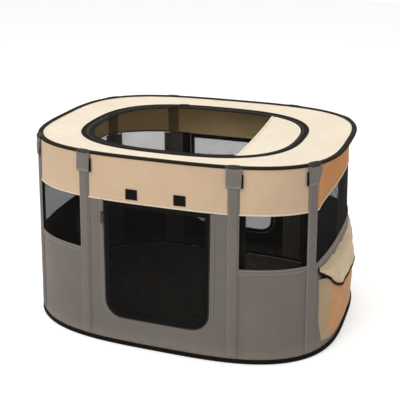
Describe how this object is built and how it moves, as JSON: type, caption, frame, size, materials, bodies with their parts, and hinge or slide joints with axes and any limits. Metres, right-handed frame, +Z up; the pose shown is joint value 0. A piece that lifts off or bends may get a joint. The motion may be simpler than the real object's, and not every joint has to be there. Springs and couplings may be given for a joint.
{
  "type": "foldable pet playpen",
  "caption": "Folding fabric pet pen on sprung hoops with upright stays, net windows, net doors front and back, a zipped net lid and an end pocket.",
  "frame": {"origin": "on the ground, at the middle of the plan", "axes": "+X along the length towards the end with the pocket, -Y to the front, +Z up"},
  "size_m": [0.8458, 0.6562, 0.5],
  "materials": {
    "cream_cloth": "woven polyester, matt",
    "tan_cloth": "woven polyester, matt",
    "grey_cloth": "woven polyester, matt",
    "net": "fine knitted mesh",
    "binding": "ribbed tape",
    "zip_tape": "woven tape with coil zip",
    "spring_steel": "drawn wire",
    "stay": "pultruded glass fibre",
    "slider": "satin black"
  },
  "bodies": {
    "root": {"base_hoop": "spring_steel", "base_binding": "binding", "floor": "grey_cloth", "front_wall": "grey_cloth", "back_wall": "grey_cloth", "left_wall": "grey_cloth", "right_wall": "grey_cloth", "front_left_window": "net", "front_right_window": "net", "back_left_window": "net", "back_right_window": "net", "left_window": "net", "right_window": "net", "upper_band": "tan_cloth", "back_end_right_sleeve": "grey_cloth", "back_side_right_sleeve": "grey_cloth", "back_side_left_sleeve": "grey_cloth", "back_end_left_sleeve": "grey_cloth", "front_end_left_sleeve": "grey_cloth", "front_side_left_sleeve": "grey_cloth", "front_side_right_sleeve": "grey_cloth", "front_end_right_sleeve": "grey_cloth", "back_end_right_stay": "stay", "back_side_right_stay": "stay", "back_side_left_stay": "stay", "back_end_left_stay": "stay", "front_end_left_stay": "stay", "front_side_left_stay": "stay", "front_side_right_stay": "stay", "front_end_right_stay": "stay", "front_door_zip": "zip_tape", "back_door_zip": "zip_tape", "pocket": "tan_cloth"},
    "top": {"top_hoop": "spring_steel", "top_binding": "binding", "top_panel": "cream_cloth", "opening_zip": "zip_tape", "crescent_panel": "cream_cloth"},
    "lid": {"lid": "net"},
    "lid_slider": {"lid_slider": "slider"},
    "front_door": {"front_door": "net"},
    "front_door_slider": {"front_door_slider": "slider"},
    "back_door": {"back_door": "net"},
    "back_door_slider": {"back_door_slider": "slider"},
    "front_left_tab": {"front_left_tab": "zip_tape"},
    "front_right_tab": {"front_right_tab": "zip_tape"},
    "back_left_tab": {"back_left_tab": "zip_tape"},
    "back_right_tab": {"back_right_tab": "zip_tape"},
    "back_end_right_hood": {"back_end_right_hood": "grey_cloth"},
    "back_side_right_hood": {"back_side_right_hood": "grey_cloth"},
    "back_side_left_hood": {"back_side_left_hood": "grey_cloth"},
    "back_end_left_hood": {"back_end_left_hood": "grey_cloth"},
    "front_end_left_hood": {"front_end_left_hood": "grey_cloth"},
    "front_side_left_hood": {"front_side_left_hood": "grey_cloth"},
    "front_side_right_hood": {"front_side_right_hood": "grey_cloth"},
    "front_end_right_hood": {"front_end_right_hood": "grey_cloth"},
    "pocket_flap": {"pocket_flap": "cream_cloth"}
  },
  "joints": [
    {"name": "fold", "type": "slide", "parent": "root", "child": "top", "axis": [0, 0, 1], "range_m": [-0.432, 0], "deforming": ["front_wall", "back_wall", "left_wall", "right_wall", "front_left_window", "front_right_window", "back_left_window", "back_right_window", "left_window", "right_window", "upper_band", "back_end_right_sleeve", "back_side_right_sleeve", "back_side_left_sleeve", "back_end_left_sleeve", "front_end_left_sleeve", "front_side_left_sleeve", "front_side_right_sleeve", "front_end_right_sleeve", "back_end_right_stay", "back_side_right_stay", "back_side_left_stay", "back_end_left_stay", "front_end_left_stay", "front_side_left_stay", "front_side_right_stay", "front_end_right_stay", "front_door_zip", "back_door_zip", "pocket", "pocket_flap", "front_door", "back_door", "front_door_slider", "back_door_slider", "front_left_tab", "front_right_tab", "back_left_tab", "back_right_tab"]},
    {"name": "lid_open", "type": "hinge", "parent": "top", "child": "lid", "pos_m": [0.15952, 0, 0.4888], "axis": [0, 1, 0], "range_deg": [0, 150]},
    {"name": "front_door_open", "type": "hinge", "parent": "root", "child": "front_door", "pos_m": [0, -0.31144, 0.384], "axis": [-1, 0, 0], "range_deg": [0, 140]},
    {"name": "back_door_open", "type": "hinge", "parent": "root", "child": "back_door", "pos_m": [0, 0.31144, 0.384], "axis": [1, 0, 0], "range_deg": [0, 140]},
    {"name": "front_left_tab_lift", "type": "hinge", "parent": "root", "child": "front_left_tab", "pos_m": [-0.06103, -0.31253, 0.4185], "axis": [-0.9999, 0.0124, 0], "range_deg": [0, 150]},
    {"name": "front_right_tab_lift", "type": "hinge", "parent": "root", "child": "front_right_tab", "pos_m": [0.06103, -0.31253, 0.4185], "axis": [-0.9999, -0.0124, 0], "range_deg": [0, 150]},
    {"name": "back_left_tab_lift", "type": "hinge", "parent": "root", "child": "back_left_tab", "pos_m": [-0.06103, 0.31253, 0.4185], "axis": [0.9999, 0.0124, 0], "range_deg": [0, 150]},
    {"name": "back_right_tab_lift", "type": "hinge", "parent": "root", "child": "back_right_tab", "pos_m": [0.06103, 0.31253, 0.4185], "axis": [0.9999, -0.0124, 0], "range_deg": [0, 150]},
    {"name": "back_end_right_hood_lift", "type": "hinge", "parent": "top", "child": "back_end_right_hood", "pos_m": [0.35324, 0.2156, 0.4962], "axis": [0.6176, -0.7865, 0], "range_deg": [0, 90]},
    {"name": "back_side_right_hood_lift", "type": "hinge", "parent": "top", "child": "back_side_right_hood", "pos_m": [0.18793, 0.29788, 0.4962], "axis": [0.9879, -0.1551, 0], "range_deg": [0, 90]},
    {"name": "back_side_left_hood_lift", "type": "hinge", "parent": "top", "child": "back_side_left_hood", "pos_m": [-0.18793, 0.29788, 0.4962], "axis": [0.9879, 0.1551, 0], "range_deg": [0, 90]},
    {"name": "back_end_left_hood_lift", "type": "hinge", "parent": "top", "child": "back_end_left_hood", "pos_m": [-0.35324, 0.2156, 0.4962], "axis": [0.6176, 0.7865, 0], "range_deg": [0, 90]},
    {"name": "front_end_left_hood_lift", "type": "hinge", "parent": "top", "child": "front_end_left_hood", "pos_m": [-0.35324, -0.2156, 0.4962], "axis": [-0.6176, 0.7865, 0], "range_deg": [0, 90]},
    {"name": "front_side_left_hood_lift", "type": "hinge", "parent": "top", "child": "front_side_left_hood", "pos_m": [-0.18793, -0.29788, 0.4962], "axis": [-0.9879, 0.1551, 0], "range_deg": [0, 90]},
    {"name": "front_side_right_hood_lift", "type": "hinge", "parent": "top", "child": "front_side_right_hood", "pos_m": [0.18793, -0.29788, 0.4962], "axis": [-0.9879, -0.1551, 0], "range_deg": [0, 90]},
    {"name": "front_end_right_hood_lift", "type": "hinge", "parent": "top", "child": "front_end_right_hood", "pos_m": [0.35324, -0.2156, 0.4962], "axis": [-0.6176, -0.7865, 0], "range_deg": [0, 90]},
    {"name": "pocket_flap_lift", "type": "hinge", "parent": "root", "child": "pocket_flap", "pos_m": [0.39022, 0, 0.232], "axis": [0, -1, 0], "range_deg": [0, 110]},
    {"name": "front_door_zip_run", "type": "slide", "parent": "root", "child": "front_door_slider", "axis": [0, 0.0344, 0.9994], "range_m": [-0.215, 0]},
    {"name": "back_door_zip_run", "type": "slide", "parent": "root", "child": "back_door_slider", "axis": [0, -0.0344, 0.9994], "range_m": [-0.215, 0]},
    {"name": "lid_zip_run", "type": "hinge", "parent": "top", "child": "lid_slider", "pos_m": [-0.03314, -0.19658, 0.49], "axis": [0, 0, 1], "range_deg": [-18.2, 9.2]}
  ]
}
